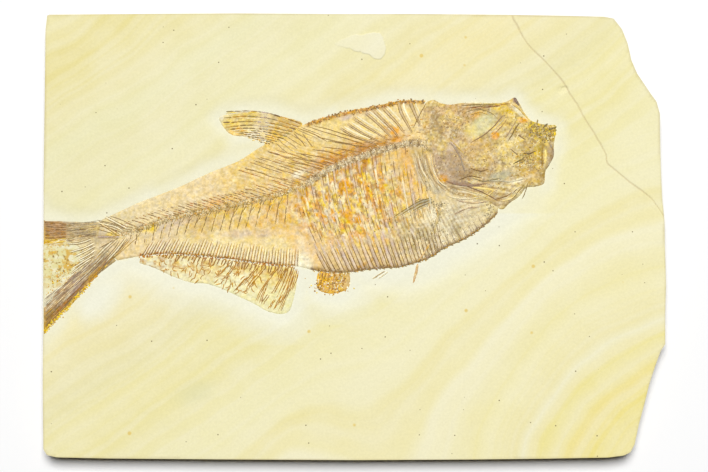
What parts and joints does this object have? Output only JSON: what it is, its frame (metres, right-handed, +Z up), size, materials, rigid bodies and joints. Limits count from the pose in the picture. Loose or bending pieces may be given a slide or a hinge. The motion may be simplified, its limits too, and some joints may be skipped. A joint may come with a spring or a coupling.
{
  "type": "fossil fish in a limestone slab",
  "caption": "Flat rectangular slab of pale laminated limestone with one broken edge and a fossil fish skeleton lying on its side in its upper face.",
  "frame": {"origin": "centre of the slab's bounding box at its flat underside", "axes": "+Z up out of the fossil face, +X along the slab's long side towards the fish's head, +Y towards the fish's back"},
  "size_m": [0.293, 0.21, 0.0136],
  "materials": {
    "pale_limestone": "matte split limestone",
    "stained_flank": "thin mineral film, matte",
    "fossil_bone": "mineralised bone, low sheen"
  },
  "bodies": {
    "root": {"limestone_slab": "pale_limestone", "trunk": "stained_flank", "skull": "fossil_bone", "dorsal_fin": "fossil_bone", "anal_fin": "fossil_bone", "tail_fin": "fossil_bone", "pelvic_fin": "fossil_bone", "pectoral_fin": "fossil_bone"}
  },
  "joints": []
}
